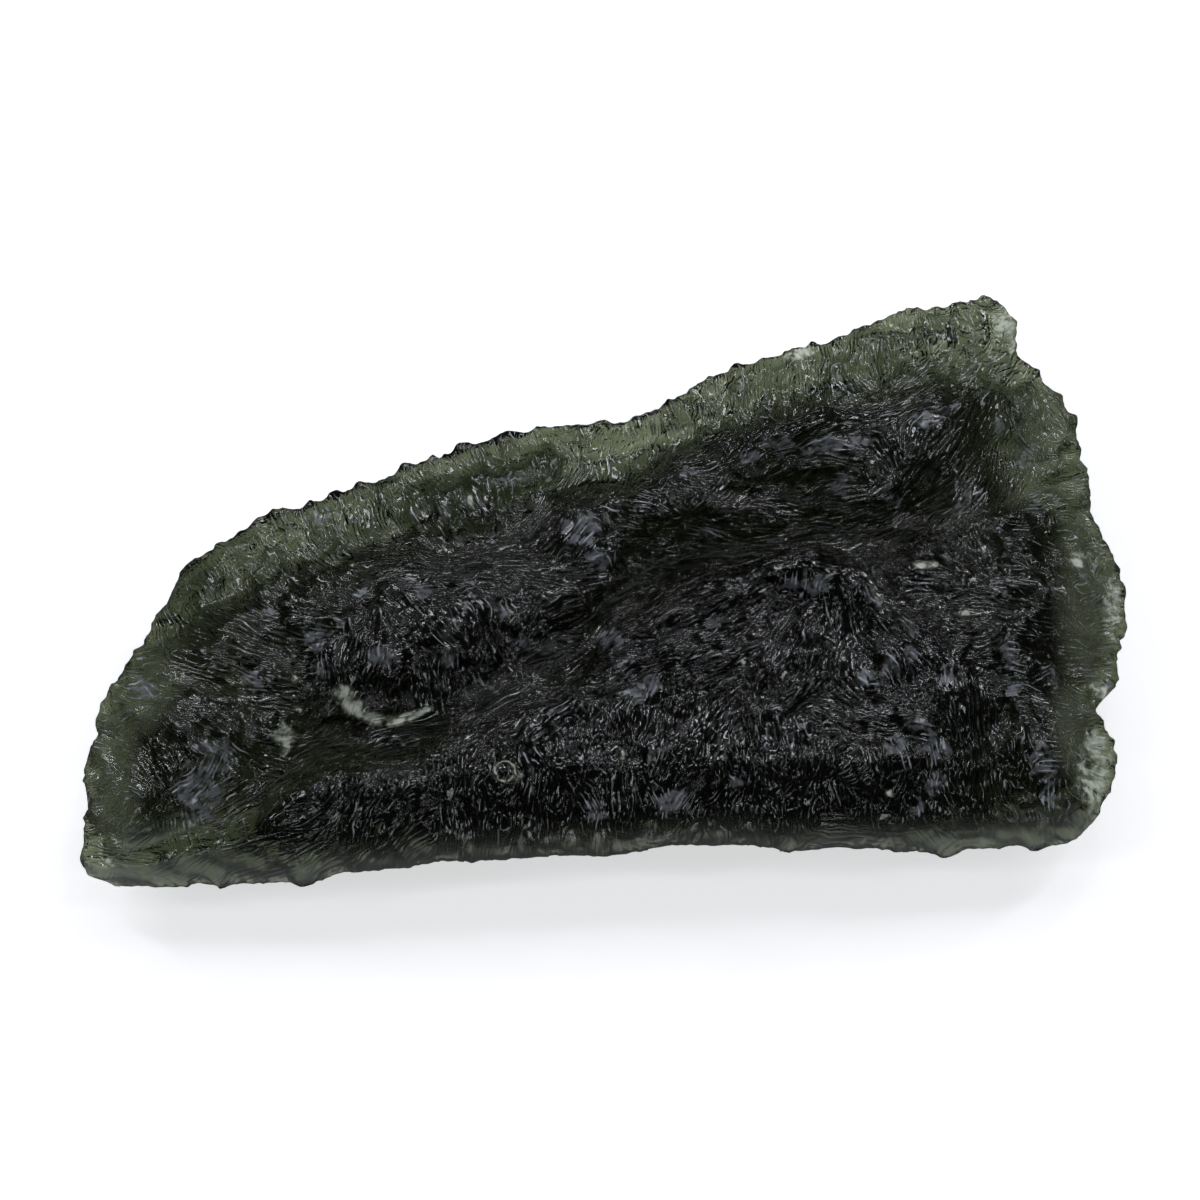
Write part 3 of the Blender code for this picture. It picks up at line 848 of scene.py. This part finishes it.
most = max(LOSS_PER_METRE)
kept = [1 - loss / most for loss in LOSS_PER_METRE] + [1.0]
absorb = add_node("VolumeAbsorption", {"Color": kept, "Density": most})
tree.links.new(absorb, tree.nodes["Material Output"].inputs["Volume"])

# %% the grooves' bump
# the height's top is a quarter, so the grooves are a quarter as deep as this
BUMP_DISTANCE = 0.20 * MM
# how many grooves' width they sway by, and how often across and along the pattern
SWAY = 2.4
SWAY_RATE = (0.45, 1.0, 1.0)
# the flecks along the crests are two grooves wide and 0.7 mm long
FLECK_RATE = (0.55, 2.8, 1.0)
# how much of the grooves the smooth band takes away
BAND_FLATTENS = 0.65


def grooves(layer):
    """Grooves on one layer of patches: their height and the flecks stretched along them."""
    patch = add_node("UVMap", {}, uv_map=layer)
    slow = add_node("VectorMath", {0: patch, 1: SWAY_RATE}, operation="MULTIPLY")
    sway = add_node(
        "TexNoise", {"Vector": slow, "Scale": 1.0, "Detail": 1.0}, noise_dimensions="2D"
    )
    across = add_node("SeparateXYZ", {0: patch})
    swaying = add_node("Math", {0: sway, 1: SWAY, 2: across}, operation="MULTIPLY_ADD")
    # 0 in the middle of a groove and a half on its crests, then squared to a round floor
    from_middle = add_node("Math", {0: swaying, 1: 0.5}, operation="PINGPONG")
    height = add_node("Math", {0: from_middle, 1: 2.0}, operation="POWER")
    long = add_node("VectorMath", {0: patch, 1: FLECK_RATE}, operation="MULTIPLY")
    flecks = add_node(
        "TexNoise", {"Vector": long, "Scale": 1.0, "Detail": 2.0}, noise_dimensions="2D"
    )
    return height, flecks


shows_first = add_node("Attribute", {}, "Fac", attribute_name="shows_first")
first_height, first_flecks = grooves("combed_first")
second_height, second_flecks = grooves("combed_second")
height = add_node("Mix", {"Factor": shows_first, "A": second_height, "B": first_height})
flecks = add_node("Mix", {"Factor": shows_first, "A": second_flecks, "B": first_flecks})
in_band = add_node("Attribute", {}, "Fac", attribute_name="band")
off_band = add_node("Math", {0: in_band, 1: -BAND_FLATTENS, 2: 1.0}, operation="MULTIPLY_ADD")
bump = add_node("Bump", {"Strength": off_band, "Distance": BUMP_DISTANCE, "Height": height})
tree.links.new(bump, shader.inputs["Normal"])

# %% where the glass is worn and painted with sheen
# the clouds that break up the wear and its painted sheen, as large as in the picture
CLOUD = 0.40 * MM
# the wear and its painted sheen are a sum of the clouds, the grooves' height and the worn mark
WORN_BY_CLOUDS = 2.6
WORN_BY_HEIGHT = 1.6
WORN_BY_MARK = 0.80
WORN_START = -1.55

place = add_node("TexCoord", {}, "Object")
clouds = add_node("TexNoise", {"Vector": place, "Scale": 1 / CLOUD, "Detail": 2.0})
worn_and_sheen_mark = add_node("Attribute", {}, "Fac", attribute_name="worn_and_sheen")
wear_and_sheen = add_node("Math", {0: clouds, 1: WORN_BY_CLOUDS, 2: WORN_START}, operation="MULTIPLY_ADD")
wear_and_sheen = add_node("Math", {0: height, 1: WORN_BY_HEIGHT, 2: wear_and_sheen}, operation="MULTIPLY_ADD")
wear_and_sheen = add_node("Math", {0: worn_and_sheen_mark, 1: WORN_BY_MARK, 2: wear_and_sheen}, operation="MULTIPLY_ADD")

# %% where it is chipped, and where highlights and glow are painted
# chips and painted light are their mark, broken up by a sum of the clouds and the flecks
CHIP_BY_CLOUDS = 1.8
CHIP_BY_FLECKS = 1.5
CHIP_START = -0.85

chip_and_light_mark = add_node("Attribute", {}, "Fac", attribute_name="chips_and_painted_light")
break_up = {0: clouds, 1: CHIP_BY_CLOUDS, 2: CHIP_START}
chipping_and_light = add_node("Math", break_up, operation="MULTIPLY_ADD")
chipping_and_light = add_node("Math", {0: flecks, 1: CHIP_BY_FLECKS, 2: chipping_and_light}, operation="MULTIPLY_ADD")
chipping_and_light = add_node("Math", {0: chipping_and_light, 1: chip_and_light_mark}, operation="MULTIPLY")

# %% where glints are painted along its crests
# the height and the fleck between which the painted glint lines set in
GLINT_LINE_HEIGHT = {"From Min": 0.14, "From Max": 0.22}
GLINT_LINE_FLECK = {"From Min": 0.45, "From Max": 0.60}
# valleys get fewer painted glint lines, and worn spots more than the plain skin
VALLEY_SPARES = 0.55
PLAIN_GLINT_LINES = 0.55
WORN_GLINT_LINES = 1.3

# painted highlights: short pale frosted lines on the groove crests stand in for glints of the
# lamps
on_crest = add_node("MapRange", {"Value": height, **GLINT_LINE_HEIGHT})
on_fleck = add_node("MapRange", {"Value": flecks, **GLINT_LINE_FLECK})
painted_glint_lines = add_node("Math", {0: on_crest, 1: on_fleck}, operation="MULTIPLY")
painted_glint_lines = add_node("Math", {0: painted_glint_lines, 1: off_band}, operation="MULTIPLY")
in_valley = add_node("Attribute", {}, "Fac", attribute_name="valley")
spared = {0: in_valley, 1: -VALLEY_SPARES, 2: 1.0}
off_valley = add_node("Math", spared, operation="MULTIPLY_ADD")
painted_glint_lines = add_node("Math", {0: painted_glint_lines, 1: off_valley}, operation="MULTIPLY")
most_on_worn = {0: worn_and_sheen_mark, 1: WORN_GLINT_LINES, 2: PLAIN_GLINT_LINES}
on_high = add_node("Math", most_on_worn, operation="MULTIPLY_ADD")
painted_glint_lines = add_node("Math", {0: painted_glint_lines, 1: on_high}, operation="MULTIPLY", use_clamp=True)

# %% how rough it is there
WORN_ROUGH = {"From Min": 0.2, "From Max": 0.9, "To Min": 0.12, "To Max": 0.34}
CHIP_ROUGH = {"From Min": 0.4, "From Max": 0.9, "To Min": 0.0, "To Max": 0.45}
BAND_ROUGH = 0.45

worn_rough = add_node("MapRange", {"Value": wear_and_sheen, **WORN_ROUGH})
band_rough = add_node("Math", {0: in_band, 1: BAND_ROUGH}, operation="MULTIPLY")
worn_rough = add_node("Math", {0: worn_rough, 1: band_rough}, operation="MAXIMUM")
chip_rough = add_node("MapRange", {"Value": chipping_and_light, **CHIP_ROUGH})
roughness = add_node("Math", {0: worn_rough, 1: chip_rough}, operation="MAXIMUM")
tree.links.new(roughness, shader.inputs["Roughness"])

# %% how frosted it is, painted light included
# the worn spots' frost carries a painted blue-grey sheen
WORN_AND_SHEEN_FROST = {"From Min": 0.2, "From Max": 1.2, "To Min": 0.0, "To Max": 0.26}
CHIP_AND_LIGHT_FROST = {"From Min": 0.2, "From Max": 1.1, "To Min": 0.0, "To Max": 0.85}
BAND_FROST = 0.14
MILKY_FROST = 0.27
# the frost of the painted glint lines on the crests
PAINTED_GLINT_FROST = 0.72

worn_and_sheen_frost = add_node("MapRange", {"Value": wear_and_sheen, **WORN_AND_SHEEN_FROST})
frost_and_painted_light = add_node("Math", {0: in_band, 1: BAND_FROST}, operation="MULTIPLY")
milky_mark = add_node("Attribute", {}, "Fac", attribute_name="milky")
frost_and_painted_light = add_node("Math", {0: milky_mark, 1: MILKY_FROST, 2: frost_and_painted_light}, operation="MULTIPLY_ADD")
frost_and_painted_light = add_node("Math", {0: worn_and_sheen_frost, 1: frost_and_painted_light}, operation="MAXIMUM")
frost_and_painted_light = add_node("Math", {0: painted_glint_lines, 1: PAINTED_GLINT_FROST, 2: frost_and_painted_light}, operation="MULTIPLY_ADD")
chip_and_light_frost = add_node("MapRange", {"Value": chipping_and_light, **CHIP_AND_LIGHT_FROST})
frost_and_painted_light = add_node("Math", {0: frost_and_painted_light, 1: chip_and_light_frost}, operation="MAXIMUM")
clear = add_node("Math", {0: 1.0, 1: frost_and_painted_light}, operation="SUBTRACT")
tree.links.new(clear, shader.inputs["Transmission Weight"])

# %% what colour the frost and the painted light are
# a grey olive skin, blue-grey as painted sheen on the worn spots and as painted glints on the
# crest lines, and nearly white in the chips and in the painted highlights and glow
SKIN_COLOUR = linear("82896e")
# blue-grey painted sheen of the worn spots and crest lines
WORN_AND_SHEEN_COLOUR = linear("a8adb6")
# nearly white for the chips, the painted highlights and the painted glow of the lobes
CHIP_AND_LIGHT_COLOUR = linear("dde4d2")
WORN_SHEEN_BLUE = {"From Min": 0.3, "From Max": 0.8}
CHIP_AND_LIGHT_PALE = {"From Min": 0.4, "From Max": 0.9}
BAND_BLUE = 0.4

blue = add_node("MapRange", {"Value": wear_and_sheen, **WORN_SHEEN_BLUE})
blue = add_node("Math", {0: in_band, 1: BAND_BLUE, 2: blue}, operation="MULTIPLY_ADD")
blue = add_node("Math", {0: painted_glint_lines, 1: blue}, operation="MAXIMUM")
pale = add_node("MapRange", {"Value": chipping_and_light, **CHIP_AND_LIGHT_PALE})
colour = add_node(
    "Mix", {"Factor": blue, "A": SKIN_COLOUR, "B": WORN_AND_SHEEN_COLOUR}, "Result", data_type="RGBA"
)
colour = add_node(
    "Mix", {"Factor": pale, "A": colour, "B": CHIP_AND_LIGHT_COLOUR}, "Result", data_type="RGBA"
)
tree.links.new(colour, shader.inputs["Base Color"])
stone.data.materials.append(glass)
print("the glass has", len(tree.nodes), "nodes")

# %% hand over
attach(stone, "root")
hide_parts("moldavite")
